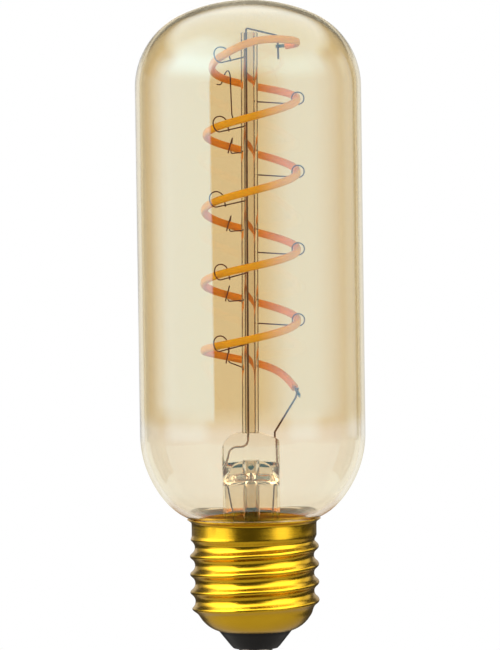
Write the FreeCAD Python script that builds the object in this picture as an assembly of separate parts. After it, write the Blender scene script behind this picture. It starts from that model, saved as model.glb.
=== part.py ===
import FreeCAD, Part
import math
import os
from FreeCAD import Vector

# Tubular filament lamp with an E27 screw cap, one solid for each separate piece.
# Millimetres. The origin is the centre of the contact's lower face, +Z runs up the
# lamp's axis and a viewer in front looks along +Y.

# Centre contact
contact_head_r = 3.4
contact_head_h = 0.8
contact_edge_round = 0.3
contact_shank_r = 0.9
contact_shank_tip = 0.8

# Cap insulator
insulator_foot_r = 5.0
insulator_foot_round = 0.5
insulator_cone_h = 3.6
insulator_plug_h = 3.0
insulator_plug_angle = 45.0

# Cap shell, rolled from thin brass sheet
shell_wall = 0.28
shell_mouth_r = 7.6
shell_shoulder_round = 6.3
thread_crest_r = 13.05
thread_depth = 1.02
thread_crest_round = 0.6
thread_pitch = 3.629
thread_length = 11.84
thread_runout = 1.5
thread_runin_foot = 3.4
thread_runin_top = 1.2
collar_r = 12.62
collar_length = 2.4
lip_overhang = 0.88
lip_height = 0.75
lip_curve = 1.6

# Glass envelope
bulb_r = 22.75
glass_wall = 0.9
straight_length = 69.75
shoulder_round = 21.2
heel_round = 12.0
heel_angle = 41.0
neck_fillet = 1.5
neck_clearance = 0.45
neck_length = 8.8
dome_edge_round = 16.1
dome_crown_round = 32.3
lip_gap = 0.15

# Basing cement
cement_below_collar = 4.0
cement_below_lip = 0.3

# Stem: flare, tube and press
stem_height = 26.3
stem_tube_r = 5.8
stem_wall = 0.55
stem_step = 0.03
stem_foot_gap = 0.25
press_width = 11.7
press_depth = 4.6
press_solid_h = 5.7
press_straight_h = 5.3
press_blend_h = 5.1
press_left_round = 3.9
press_right_round = 1.3
press_flat_half = 1.95
press_right_drop = 1.0
press_squareness = 2.8
ellipse_power = 2.0
cavity_top_half_width = 3.8
cavity_top_half_depth = 0.6
cavity_squareness = 2.4
cavity_dome_h = 2.0
blow_hole_r = 0.6

# Exhaust tube
exhaust_r = 1.7
exhaust_wall = 0.75
exhaust_socket = 0.1
exhaust_tip_z = 16.3
exhaust_tip_r = 0.5

# Centre column
column_r = 1.72
column_wall = 0.87
column_length = 80.8

# The stem with all it carries stands this far off the lamp's axis along X, and what
# stands on the press leans towards +X, in degrees
mount_offset = -0.45
mount_lean = 0.6

# Filament: a spiral that hangs in the support loops
filament_height = 1.7
filament_thick = 1.5
filament_squareness = 2.7
coil_r = 9.75
coil_first_pinch = 1.9
coil_pinch_decay = 0.32
coil_left_squeeze = 0.25
coil_start_turn = -0.1
coil_end_turn = 4.94

# Places along the spiral, in turns from its right-hand side, that the support loops hold
front_turns = [0.378, 1.363, 2.374, 3.353, 4.357]
back_turns = [0.653, 1.684, 2.679, 3.673, 4.674]
right_turns = [1.0, 2.0, 3.0, 4.0]

# Heights of the filament at those places, as shares of the column's length
front_rests = [0.938, 0.766, 0.580, 0.400, 0.2225]
back_rests = [0.881, 0.7105, 0.515, 0.339, 0.1835]
right_rests = [0.832, 0.650, 0.457, 0.280]

# Turns and shares for its free ends: the upper tip, its crest, and the drooping lower end
free_rests = [(coil_start_turn, 0.968), (0.2, 0.978), (4.85, 0.149), (coil_end_turn, 0.109)]

# Support wires
support_r = 0.17
support_embed = 0.6
loop_tail = 0.35
loop_gap = 0.06
loop_rest_gap = 0.1
front_loop_r = 1.5
back_loop_r = 1.5
right_loop_r = 1.22

# Turn of each row's loops about the vertical, away from square to the filament, in degrees
front_loop_turn = -20.0
back_loop_turn = -25.0
right_loop_turn = 0.0

# Height of each support's root in the column over the foot of its loop
front_root_rise = 1.0
right_root_rise = 0.55
back_root_rises = [0.3, 0.3, 0.4, -1.0]

# The tall support that comes up to the first back loop from a lower root
tall_root_drop = 8.6
tall_knee_side = 0.75
tall_tail_side = 1.3
tall_tail_inset = 0.3

# Lead wires
lead_r = 0.22
lead_bend = 0.7
top_lead_foot = 0.45
top_lead_offset = 0.62
top_lead_rise = 0.95
top_lead_above_tab = 2.3
top_lead_below_tab = 2.7
bottom_lead_offset = 4.9
bottom_lead_knee = 0.1
bottom_lead_above_tab = 1.3
bottom_lead_below_tab = 0.9
seal_depth = 3.2

# Sealed leads: distance from the stem's axis and depth under the press's top
lead_foot_spread = 4.0
lead_in_bend = 1.5
lead_in_left_route = [(top_lead_foot, 0.0), (0.55, 2.8), (3.9, 2.9), (5.0, 7.5), (4.95, 9.8), (3.8, 16.5)]
lead_in_right_route = [(bottom_lead_offset, 3.3), (4.95, 7.2), (4.65, 10.5), (4.3, 16.5)]

# Filament end tabs
tab_width = 0.7
tab_thick = 0.25
tab_length = 3.0
tab_weld = 0.7

# Driver in the cap
board_z = 12.3
board_thick = 1.0
board_gap = 0.3
component_gap = 0.05
component_corner = 0.2
rectifier_size = (4.7, 3.9, 1.5)
rectifier_place = (0.0, 5.2)
chip_size = (4.9, 3.9, 1.5)
chip_place = (0.0, -5.2)
resistor_size = (3.2, 1.6, 0.6)
resistor_places = [(-6.6, 3.2), (-6.6, -3.2)]
capacitor_r = 2.15
capacitor_length = 7.0
capacitor_y = 3.2
fusible_r = 1.2
fusible_length = 6.5
fusible_y = -3.6
leg_inset = 0.4
leg_reach = 1.2
leg_bend = 0.6
wire_r = 0.3
wire_bend = 0.5
wire_stub = 0.4
solder_r = 0.8
solder_drop = 1.6
solder_gap = 0.1
shell_wire_angle = -20.0
shell_wire_inset = 1.6
shell_wire_turn = 1.4

# Clearance between pieces that are pushed or fused together
fit_gap = 0.02

# Places that follow from the sizes above
insulator_foot_z = contact_head_h
shell_edge_z = insulator_foot_z + insulator_cone_h
insulator_top_z = shell_edge_z + insulator_plug_h
contact_tip_z = insulator_top_z + contact_shank_tip
thread_root_r = thread_crest_r - thread_depth
shoulder_centre_r = thread_root_r - shell_shoulder_round
mouth_angle = math.asin((shell_mouth_r - shoulder_centre_r) / shell_shoulder_round)
shoulder_top_z = shell_edge_z + shell_shoulder_round * math.cos(mouth_angle)
thread_top_z = shoulder_top_z + thread_length
collar_foot_z = thread_top_z + thread_runout
lip_foot_z = collar_foot_z + collar_length
lip_top_z = lip_foot_z + lip_height
shell_bore_r = thread_root_r - shell_wall
neck_r = shell_bore_r - neck_clearance
neck_foot_z = lip_top_z - neck_length
press_top_z = neck_foot_z + stem_height
column_top_z = press_top_z + column_length


def smooth_step(value, low, high):
    """0 below low, 1 above high and a smooth rise between them."""
    share = min(max((value - low) / (high - low), 0.0), 1.0)
    return share * share * (3 - 2 * share)


def spaced(low, high, count):
    """Evenly spaced values from low to high, both ends included."""
    return [low + (high - low) * step / (count - 1) for step in range(count)]


def polar(radius, angle, z):
    """Point at a radius and an angle in radians about the lamp's axis."""
    return Vector(radius * math.cos(angle), radius * math.sin(angle), z)


def turned(outline):
    """Solid of revolution about the lamp's axis from a closed outline of edges."""
    face = Part.Face(Part.Wire(outline))
    return face.revolve(Vector(0, 0, 0), Vector(0, 0, 1), 360)


def line(start, end):
    """Straight edge in the X-Z half plane between two (radius, height) pairs."""
    return Part.LineSegment(Vector(start[0], 0, start[1]), Vector(end[0], 0, end[1])).toShape()


def arc(centre, radius, start_angle, end_angle):
    """Arc edge in the X-Z half plane, with angles in degrees from +X towards +Z."""
    points = []
    for degrees in (start_angle, (start_angle + end_angle) / 2, end_angle):
        angle = math.radians(degrees)
        points.append(Vector(centre[0] + radius * math.cos(angle), 0,
                             centre[1] + radius * math.sin(angle)))
    return Part.Arc(*points).toShape()


def skin(rings):
    """Smooth face on rings of points, closed round each ring, open at both ends."""
    around = len(rings[0])
    along = len(rings)
    poles = [[ring[index] for ring in rings] for index in range(around)]
    surface = Part.BSplineSurface()
    surface.buildFromPolesMultsKnots(
        poles, [1] * (around + 1), [4] + [1] * (along - 4) + [4],
        list(range(around + 1)), list(range(along - 2)), True, False, 3, 3)
    return surface.toShape()


def end_rims(skin_face):
    """The two rims of an open skin, the lower one first."""
    rims = [edge for edge in skin_face.Edges if edge.isClosed() and not edge.isSeam(skin_face.Faces[0])]
    return sorted(rims, key=lambda edge: edge.CenterOfMass.z)


def closed_solid(faces):
    """Solid from faces that meet edge to edge."""
    shell = Part.makeShell(faces)
    shell.sewShape()
    solid = Part.Solid(Part.Shell(shell.Faces))
    if solid.Volume < 0:
        solid.reverse()
    return solid


def bent_wire(points, bend, radius):
    """Round wire along straight runs that are joined by tangent arcs."""
    edges = []
    here = points[0]
    for before, corner, after in zip(points, points[1:], points[2:]):
        way_in = (corner - before).normalize()
        way_out = (after - corner).normalize()
        half_turn = way_in.getAngle(way_out) / 2
        longest = 0.49 * min(before.distanceToPoint(corner), corner.distanceToPoint(after))
        tangent = min(bend * math.tan(half_turn), longest)
        arc_r = tangent / math.tan(half_turn)
        inward = (way_out - way_in).normalize()
        start = corner - way_in * tangent
        middle = corner + inward * (arc_r / math.cos(half_turn) - arc_r)
        end = corner + way_out * tangent
        edges.append(Part.LineSegment(here, start).toShape())
        edges.append(Part.Arc(start, middle, end).toShape())
        here = end
    edges.append(Part.LineSegment(here, points[-1]).toShape())
    path = Part.Wire(edges)
    section = Part.Circle(points[0], points[1] - points[0], radius).toShape()
    return path.makePipe(Part.Face(Part.Wire(section)))


def seated(shape):
    """Shape moved with the stem and all it carries."""
    shape.translate(Vector(mount_offset, 0, 0))
    return shape


def leaned(shape):
    """Shape turned with all that stands on the press, and moved with the stem."""
    shape.rotate(Vector(0, 0, press_top_z), Vector(0, 1, 0), mount_lean)
    return seated(shape)


# Cap shell

def shell_base_radius(z):
    """Outer radius of the plain shell at height z, before the thread is rolled."""
    if z < shoulder_top_z:
        below = shoulder_top_z - z
        return shoulder_centre_r + math.sqrt(max(shell_shoulder_round ** 2 - below ** 2, 0))
    barrel = thread_root_r + (collar_r - thread_root_r) * smooth_step(z, thread_top_z, collar_foot_z)
    if z <= lip_foot_z:
        return barrel
    climb = (z - lip_foot_z) / lip_height
    return barrel + lip_overhang * climb ** lip_curve


def thread_ridge(angle, z):
    """Height of the rolled thread over its root: a crest arc and a root arc, tangent."""
    half_pitch = thread_pitch / 2
    arc_sum = (thread_depth ** 2 + half_pitch ** 2) / (2 * thread_depth)
    root_round = arc_sum - thread_crest_round
    crest_half = half_pitch * thread_crest_round / arc_sum
    crest_z = shoulder_top_z + thread_pitch * angle / (2 * math.pi)
    offset = (z - crest_z + half_pitch) % thread_pitch - half_pitch
    if abs(offset) < crest_half:
        return thread_depth - thread_crest_round + math.sqrt(thread_crest_round ** 2 - offset ** 2)
    return root_round - math.sqrt(root_round ** 2 - (half_pitch - abs(offset)) ** 2)


def shell_radius(angle, z):
    """Outer radius of the finished shell, with the thread faded at both ends."""
    fade_in = smooth_step(z, shoulder_top_z - thread_runin_foot, shoulder_top_z - thread_runin_top)
    fade_out = 1 - smooth_step(z, thread_top_z, collar_foot_z)
    return shell_base_radius(z) + thread_ridge(angle, z) * fade_in * fade_out


def shell_heights():
    """Heights of the rings that carry the shell's skin, close where the form turns."""
    knee_angle = math.radians(50)
    knee_z = shoulder_top_z - shell_shoulder_round * math.cos(knee_angle)
    shoulder = [shoulder_top_z - shell_shoulder_round * math.cos(angle)
                for angle in spaced(mouth_angle, knee_angle, 7)]
    rows = int((collar_foot_z - knee_z) / (thread_pitch / 18))
    barrel = spaced(knee_z, collar_foot_z, rows)
    collar = spaced(collar_foot_z, lip_foot_z, 7)
    lip = spaced(lip_foot_z, lip_top_z, 6)
    return shoulder[:-1] + barrel + collar[1:] + lip[1:]


def shell_point(angle, z, depth):
    """Radius and height of the point at a depth under the outer face, square to its slope."""
    step = 0.01
    low = max(z - step, shell_edge_z)
    high = min(z + step, lip_top_z)
    slope = (shell_radius(angle, high) - shell_radius(angle, low)) / (high - low)
    square = math.hypot(1, slope)
    return shell_radius(angle, z) - depth / square, z + depth * slope / square


def shell_ring(z, depth):
    """Ring of poles that carries the shell's face at a depth under the outer one."""
    count = 48
    pole_scale = 3 / (2 + math.cos(2 * math.pi / count))
    ring = []
    for index in range(count):
        angle = 2 * math.pi * index / count
        radius, height = shell_point(angle, z, depth)
        ring.append(polar(radius * pole_scale, angle, height))
    return ring


def cap_shell():
    """Thin brass shell: bowl-shaped foot, rolled thread, plain collar and flared lip."""
    heights = shell_heights()
    outer = skin([shell_ring(z, 0) for z in heights])
    inner = skin([shell_ring(z, shell_wall) for z in heights])
    foot, lip = [Part.makeRuledSurface(*rims) for rims in zip(end_rims(outer), end_rims(inner))]
    return closed_solid([outer, inner, foot, lip])


# Cap insulator and centre contact

def cap_insulator():
    """Black insulator: a cone below the shell and a plug that fills the shell's foot."""
    seat_round = shell_shoulder_round - shell_wall - fit_gap
    plug_angle = math.radians(insulator_plug_angle)
    seat_start = (shoulder_centre_r + seat_round * math.sin(mouth_angle),
                  shoulder_top_z - seat_round * math.cos(mouth_angle))
    seat_end = (shoulder_centre_r + seat_round * math.sin(plug_angle),
                shoulder_top_z - seat_round * math.cos(plug_angle))
    cone_top = (shell_mouth_r - shell_wall / 2, shell_edge_z - fit_gap)
    foot_corner = (insulator_foot_r - insulator_foot_round, insulator_foot_z)
    cone_foot = (insulator_foot_r, insulator_foot_z + insulator_foot_round)
    outline = [
        line((contact_shank_r, insulator_foot_z), foot_corner),
        line(foot_corner, cone_foot),
        line(cone_foot, cone_top),
        line(cone_top, seat_start),
        arc((shoulder_centre_r, shoulder_top_z), seat_round,
            math.degrees(mouth_angle) - 90, insulator_plug_angle - 90),
        line(seat_end, (seat_end[0], insulator_top_z)),
        line((seat_end[0], insulator_top_z), (contact_shank_r, insulator_top_z)),
        line((contact_shank_r, insulator_top_z), (contact_shank_r, insulator_foot_z)),
    ]
    return turned(outline)


def centre_contact():
    """Metal contact: a flat head with a rounded edge and a shank through the insulator."""
    flat_r = contact_head_r - contact_edge_round
    outline = [
        line((0, 0), (flat_r, 0)),
        arc((flat_r, contact_edge_round), contact_edge_round, -90, 0),
        line((contact_head_r, contact_edge_round), (contact_head_r, contact_head_h)),
        line((contact_head_r, contact_head_h), (contact_shank_r, contact_head_h)),
        line((contact_shank_r, contact_head_h), (contact_shank_r, contact_tip_z)),
        line((contact_shank_r, contact_tip_z), (0, contact_tip_z)),
        line((0, contact_tip_z), (0, 0)),
    ]
    return turned(outline)


# Glass envelope

def envelope_arcs():
    """Centres and angles of the envelope's outer arcs, set on the lip of the shell."""
    shoulder_r = bulb_r - shoulder_round
    lean = math.radians(heel_angle)
    heel_r = shoulder_r + (shoulder_round - heel_round) * math.cos(lean)
    heel_drop = (shoulder_round - heel_round) * math.sin(lean)
    seat_r, seat_z = shell_point(0, lip_top_z, shell_wall)
    heel_z = seat_z + lip_gap + math.sqrt(heel_round ** 2 - (seat_r - heel_r) ** 2)
    fillet_r = neck_r + neck_fillet
    fillet_z = heel_z - math.sqrt((heel_round + neck_fillet) ** 2 - (fillet_r - heel_r) ** 2)
    heel_end = math.degrees(math.atan2(fillet_z - heel_z, fillet_r - heel_r))
    return {
        "shoulder": (shoulder_r, heel_z + heel_drop),
        "heel": (heel_r, heel_z),
        "fillet": (fillet_r, fillet_z),
        "heel_end": heel_end,
    }


def envelope_outline(depth):
    """Edges from neck to crown at a depth under the outer face, and the crown's height."""
    arcs = envelope_arcs()
    straight_foot_z = arcs["shoulder"][1]
    straight_top_z = straight_foot_z + straight_length
    wall_r = bulb_r - depth
    edge_r = bulb_r - dome_edge_round
    crown_drop = math.sqrt((dome_crown_round - dome_edge_round) ** 2 - edge_r ** 2)
    crown_z = straight_top_z - crown_drop
    crown_angle = math.degrees(math.atan2(crown_drop, edge_r))
    neck_wall_r = neck_r - depth
    edges = [
        line((neck_wall_r, neck_foot_z), (neck_wall_r, arcs["fillet"][1])),
        arc(arcs["fillet"], neck_fillet + depth, 180, arcs["heel_end"] + 180),
        arc(arcs["heel"], heel_round - depth, arcs["heel_end"], -heel_angle),
        arc(arcs["shoulder"], shoulder_round - depth, -heel_angle, 0),
        line((wall_r, straight_foot_z), (wall_r, straight_top_z)),
        arc((edge_r, straight_top_z), dome_edge_round - depth, 0, crown_angle),
        arc((0, crown_z), dome_crown_round - depth, crown_angle, 90),
    ]
    return edges, crown_z + dome_crown_round - depth


def glass_envelope():
    """Blown tube with a domed crown, drawn in at the shoulder to a neck."""
    outer, outer_top_z = envelope_outline(0)
    inner, inner_top_z = envelope_outline(glass_wall)
    crown = line((0, outer_top_z), (0, inner_top_z))
    foot = line((neck_r - glass_wall, neck_foot_z), (neck_r, neck_foot_z))
    return turned(outer + [crown] + inner[::-1] + [foot])


def basing_cement():
    """Ring of cement between the neck and the shell, wider in the plain collar."""
    collar_bore = collar_r - shell_wall - fit_gap
    thread_bore = shell_bore_r - fit_gap
    foot_z = collar_foot_z - cement_below_collar
    step_z = collar_foot_z + fit_gap
    top_z = envelope_arcs()["fillet"][1] - cement_below_lip
    neck = neck_r + fit_gap
    outline = [
        line((neck, foot_z), (thread_bore, foot_z)),
        line((thread_bore, foot_z), (thread_bore, step_z)),
        line((thread_bore, step_z), (collar_bore, step_z)),
        line((collar_bore, step_z), (collar_bore, top_z)),
        line((collar_bore, top_z), (neck, top_z)),
        line((neck, top_z), (neck, foot_z)),
    ]
    return turned(outline)


# Stem

def squared(angle, power):
    """Point at an angle on a unit outline: a circle at power 2, squarer at a higher power."""
    x = math.copysign(abs(math.cos(angle)) ** (2 / power), math.cos(angle))
    y = math.copysign(abs(math.sin(angle)) ** (2 / power), math.sin(angle))
    return x, y


def oval(half_width, half_depth, power, z):
    """Closed outline between an ellipse (power 2) and a rounded box (higher power)."""
    count = 24
    points = []
    for index in range(count):
        x, y = squared(2 * math.pi * index / count, power)
        points.append(Vector(x * half_width, y * half_depth, z))
    curve = Part.BSplineCurve()
    curve.interpolate(Points=points, PeriodicFlag=True)
    return Part.Wire(curve.toShape())


def blend_loft(start, end, low_z, high_z):
    """Loft from one (half width, half depth, power) to another with an even turn."""
    sections = []
    for share in spaced(0, 1, 5):
        blend = smooth_step(share, 0, 1)
        sizes = [a + (b - a) * blend for a, b in zip(start, end)]
        sections.append(oval(*sizes, low_z + (high_z - low_z) * share))
    return Part.makeLoft(sections, True)


def dome_loft(start, low_z, rise):
    """Rounded top on a (half width, half depth, power) outline."""
    sections = []
    for angle in spaced(0, math.radians(84), 6):
        half_width, half_depth, power = start
        sections.append(oval(half_width * math.cos(angle), half_depth * math.cos(angle), power,
                             low_z + rise * math.sin(angle)))
    return Part.makeLoft(sections, True)


def press_outline():
    """Front outline of the press, as a slab through its depth, to trim its top."""
    half = press_width / 2
    margin = 1.0
    foot_z = press_top_z - press_straight_h - margin
    left_z = press_top_z - press_left_round
    right_top_z = press_top_z - press_right_drop
    right_z = right_top_z - press_right_round
    edges = [
        line((-half - margin, foot_z), (-half - margin, left_z)),
        line((-half - margin, left_z), (-half, left_z)),
        arc((press_left_round - half, left_z), press_left_round, 180, 90),
        line((press_left_round - half, press_top_z), (press_flat_half, press_top_z)),
        line((press_flat_half, press_top_z), (half - press_right_round, right_top_z)),
        arc((half - press_right_round, right_z), press_right_round, 90, 0),
        line((half, right_z), (half + margin, right_z)),
        line((half + margin, right_z), (half + margin, foot_z)),
        line((half + margin, foot_z), (-half - margin, foot_z)),
    ]
    face = Part.Face(Part.Wire(edges))
    face.translate(Vector(0, -press_depth, 0))
    return face.extrude(Vector(0, press_depth * 2, 0))


def stem_flare(wires):
    """Glass stem: a flared foot, a tube, and a flat press with the wires sealed in it."""
    rim_r = neck_r - glass_wall - abs(mount_offset)
    turn_r = rim_r - stem_tube_r
    turn_z = neck_foot_z + stem_foot_gap + stem_wall + turn_r
    bore_r = stem_tube_r - stem_wall
    blend_foot_z = press_top_z - press_straight_h - press_blend_h
    cavity_top_z = press_top_z - press_solid_h - cavity_dome_h
    outline = [
        line((stem_tube_r, blend_foot_z), (stem_tube_r, turn_z)),
        arc((rim_r, turn_z), turn_r, 180, 270),
        line((rim_r, turn_z - turn_r), (rim_r, turn_z - turn_r - stem_wall)),
        arc((rim_r, turn_z), turn_r + stem_wall, 270, 180),
        line((bore_r, turn_z), (bore_r, blend_foot_z)),
        line((bore_r, blend_foot_z), (stem_tube_r, blend_foot_z)),
    ]
    tube = turned(outline)
    tube_oval = (stem_tube_r - stem_step, stem_tube_r - stem_step, ellipse_power)
    press_oval = (press_width / 2, press_depth / 2, press_squareness)
    blend = blend_loft(tube_oval, press_oval, blend_foot_z - stem_wall / 2,
                       press_top_z - press_straight_h)
    body = Part.Face(oval(*press_oval, press_top_z - press_straight_h))
    press = body.extrude(Vector(0, 0, press_straight_h)).common(press_outline())
    bore_oval = (bore_r + stem_step, bore_r + stem_step, ellipse_power)
    slot_oval = (cavity_top_half_width, cavity_top_half_depth, cavity_squareness)
    cavity = blend_loft(bore_oval, slot_oval, blend_foot_z - stem_wall, cavity_top_z)
    cavity_dome = dome_loft(slot_oval, cavity_top_z, cavity_dome_h)
    socket = Part.makeCylinder(exhaust_r, exhaust_socket_top() - blend_foot_z, Vector(0, 0, blend_foot_z))
    blow_hole = Part.makeCylinder(blow_hole_r, stem_tube_r * 2, Vector(0, 0, blow_hole_z()),
                                  Vector(0, -1, 0))
    stem = tube.fuse([blend, press]).cut(cavity).cut([cavity_dome, socket, blow_hole])
    return seated(stem).cut(wires)


def exhaust_socket_top():
    """Height of the end of the socket in the press that holds the exhaust tube."""
    return press_top_z - press_solid_h + exhaust_socket


def blow_hole_z():
    """Height of the hole through which the lamp was pumped, just above the exhaust tube."""
    return exhaust_socket_top() - exhaust_wall - blow_hole_r


def exhaust_tube():
    """Thin glass tube, open at the press and melted shut to a point below."""
    bore_r = exhaust_r - exhaust_wall
    top_z = exhaust_socket_top() - fit_gap
    outer = exhaust_r - fit_gap
    shut_z = exhaust_tip_z + exhaust_r
    outline = [
        line((0, exhaust_tip_z), (exhaust_tip_r, exhaust_tip_z)),
        line((exhaust_tip_r, exhaust_tip_z), (outer, shut_z + exhaust_r)),
        line((outer, shut_z + exhaust_r), (outer, top_z)),
        line((outer, top_z), (bore_r, top_z)),
        line((bore_r, top_z), (bore_r, shut_z + exhaust_r)),
        line((bore_r, shut_z + exhaust_r), (0, shut_z)),
        line((0, shut_z), (0, exhaust_tip_z)),
    ]
    tube = turned(outline)
    blow_hole = Part.makeCylinder(blow_hole_r, exhaust_r * 2, Vector(0, 0, blow_hole_z()),
                                  Vector(0, -1, 0))
    return seated(tube.cut(blow_hole))


# Filament

def coil_rests():
    """Pairs of turn and height that the filament's line goes through, from its top end."""
    rests = free_rests + list(zip(front_turns, front_rests))
    rests += list(zip(back_turns, back_rests)) + list(zip(right_turns, right_rests))
    return sorted((turn, share * column_length) for turn, share in rests)


def coil_height(turn):
    """Height of the filament's line over the press, smooth between its rests."""
    rests = coil_rests()
    index = 0
    while index < len(rests) - 2 and rests[index + 1][0] < turn:
        index += 1
    (turn_a, height_a), (turn_b, height_b) = rests[index], rests[index + 1]
    span = turn_b - turn_a
    chord = (height_b - height_a) / span
    slope_a = chord
    slope_b = chord
    if index > 0:
        slope_a = (height_b - rests[index - 1][1]) / (turn_b - rests[index - 1][0])
    if index < len(rests) - 2:
        slope_b = (rests[index + 2][1] - height_a) / (rests[index + 2][0] - turn_a)
    share = (turn - turn_a) / span
    bend_a = (slope_a - chord) * span
    bend_b = (chord - slope_b) * span
    line_height = height_a + (height_b - height_a) * share
    return line_height + share * (1 - share) * (bend_a * (1 - share) + bend_b * share)


def coil_point(turn):
    """Point on the filament's centre line; turns run down from the right by the front."""
    leftness = (1 - math.cos(2 * math.pi * turn)) / 2
    pinch = coil_first_pinch * coil_pinch_decay ** (turn - 0.5)
    radius = coil_r - leftness * (coil_left_squeeze + pinch)
    return polar(radius, -2 * math.pi * turn, press_top_z + coil_height(turn))


def coil_frame(turn):
    """Centre, direction along the filament, outward and upward directions square to it."""
    step = 0.005
    centre = coil_point(turn)
    along = (coil_point(turn + step) - coil_point(turn - step)).normalize()
    outward = Vector(centre.x, centre.y, 0).normalize()
    outward = (outward - along * outward.dot(along)).normalize()
    upward = outward.cross(along)
    if upward.z < 0:
        upward = upward * -1
    return centre, along, outward, upward


def led_filament():
    """Soft filament of rounded oblong section, swept along the spiral."""
    around = 12
    rings_per_turn = 24
    pole_scale = 3 / (2 + math.cos(2 * math.pi / around))
    half_thick = filament_thick / 2 * pole_scale
    half_height = filament_height / 2 * pole_scale
    rings = []
    ring_count = int((coil_end_turn - coil_start_turn) * rings_per_turn)
    for turn in spaced(coil_start_turn, coil_end_turn, ring_count):
        centre, along, outward, upward = coil_frame(turn)
        ring = []
        for index in range(around):
            side, rise = squared(2 * math.pi * index / around, filament_squareness)
            ring.append(centre + outward * (side * half_thick) + upward * (rise * half_height))
        rings.append(ring)
    side_face = skin(rings)
    caps = [Part.makeFilledFace([edge]) for edge in end_rims(side_face)]
    return closed_solid([side_face] + caps)


def end_tab(turn, sign):
    """Metal strip that carries on from an end of the filament along its line."""
    centre, along, outward, upward = coil_frame(turn)
    direction = along * sign
    corner = centre + direction * fit_gap - outward * (tab_thick / 2) - upward * (tab_width / 2)
    profile = Part.makePolygon([
        corner,
        corner + outward * tab_thick,
        corner + outward * tab_thick + upward * tab_width,
        corner + upward * tab_width,
        corner,
    ])
    return Part.Face(profile).extrude(direction * tab_length)


def tab_weld_point(turn, sign):
    """Middle of the lead wire where it crosses a tab's inner face, and the way up the tab."""
    centre, along, outward, upward = coil_frame(turn)
    weld = centre + along * (sign * tab_length * tab_weld)
    return weld - outward * (tab_thick / 2 + lead_r + fit_gap), upward


# Supports

def loop_frame(turn, loop_r, loop_turn):
    """Middle of a loop in which the filament rests, and its outward, upward and side ways."""
    centre, along, outward, upward = coil_frame(turn)
    lift = loop_r - support_r - filament_height / 2 - loop_rest_gap
    swing = FreeCAD.Rotation(upward, loop_turn)
    return centre + upward * lift, swing.multVec(outward), upward, swing.multVec(along)


def loop_corners(touches, loop_r):
    """Corners between the runs of wire that touch the loop circle at angles in degrees."""
    corners = []
    for first, second in zip(touches, touches[1:]):
        middle = math.radians((first + second) / 2)
        reach = loop_r / math.cos(math.radians((second - first) / 2))
        corners.append((reach * math.cos(middle), reach * math.sin(middle)))
    return corners


def column_root(middle, z):
    """Point inside the column's wall where a support starts, at a height."""
    root = Vector(middle.x, middle.y, 0).normalize() * (column_r - support_embed)
    root.z = z
    return root


def support(turn, root_rise, loop_r, loop_turn):
    """Wire from the column out under the filament and once round it in a pigtail."""
    middle, outward, upward, side = loop_frame(turn, loop_r, loop_turn)
    root = column_root(middle, middle.z - loop_r * upward.z + root_rise)
    root_out = (root - middle).dot(outward)
    root_up = (root - middle).dot(upward)
    touch = math.degrees(math.atan2(root_up, root_out)) % 360
    touch += math.degrees(math.acos(loop_r / math.hypot(root_out, root_up)))
    side_step = -(2 * support_r + loop_gap) / 3
    points = [root]
    for index, (out, up) in enumerate(loop_corners([touch - 360, 0, 90, 180], loop_r)):
        points.append(middle + outward * out + upward * up + side * (index * side_step))
    points.append(middle - outward * loop_r - upward * (loop_r + loop_tail) + side * (3 * side_step))
    return leaned(bent_wire(points, loop_r, support_r))


def tall_support(turn, loop_r, loop_turn):
    """Wire from a low root out and up beside the filament, then over it in a pigtail."""
    middle, outward, upward, side = loop_frame(turn, loop_r, loop_turn)
    root = column_root(middle, middle.z - tall_root_drop)
    knee = middle - outward * loop_r + side * tall_knee_side
    knee.z = root.z
    side_step = -(2 * support_r + loop_gap) / 3
    points = [root, knee]
    for index, (out, up) in enumerate(loop_corners([180, 90, 0, -90], loop_r)):
        points.append(middle + outward * out + upward * up + side * (index * side_step))
    points.append(middle - outward * tall_tail_inset - upward * (loop_r + loop_tail)
                  + side * (3 * side_step - tall_tail_side))
    return leaned(bent_wire(points, loop_r, support_r))


def all_supports():
    """Every support wire by name, front, back and right rows from the top down."""
    wires = {}
    for index, turn in enumerate(front_turns):
        wires[f"support_front_{index + 1}"] = support(turn, front_root_rise, front_loop_r,
                                                      front_loop_turn)
    wires["support_back_1"] = tall_support(back_turns[0], back_loop_r, back_loop_turn)
    for index, (turn, rise) in enumerate(zip(back_turns[1:], back_root_rises)):
        wires[f"support_back_{index + 2}"] = support(turn, rise, back_loop_r, back_loop_turn)
    for index, turn in enumerate(right_turns):
        wires[f"support_right_{index + 1}"] = support(turn, right_root_rise, right_loop_r,
                                                      right_loop_turn)
    return wires


def centre_column(wires):
    """Hollow glass rod on the press, with the supports' roots fused into its wall."""
    foot = Vector(0, 0, press_top_z + fit_gap)
    rod = Part.makeCylinder(column_r, column_length - fit_gap, foot)
    bore = Part.makeCylinder(column_r - column_wall, column_length, foot)
    return leaned(rod.cut(bore)).cut(wires)


# Lead wires

def top_lead_wire():
    """Wire up the column's bore, over its rim and down across the upper tab."""
    start_z = press_top_z + fit_gap
    crest_z = column_top_z + top_lead_rise
    weld, upward = tab_weld_point(coil_start_turn, -1)
    points = [
        Vector(-top_lead_foot, 0, start_z),
        Vector(-top_lead_offset, 0, column_top_z),
        Vector(-top_lead_offset, 0, crest_z),
        weld + upward * top_lead_above_tab,
        weld - upward * top_lead_below_tab,
    ]
    return leaned(bent_wire(points, lead_bend, lead_r))


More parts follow.
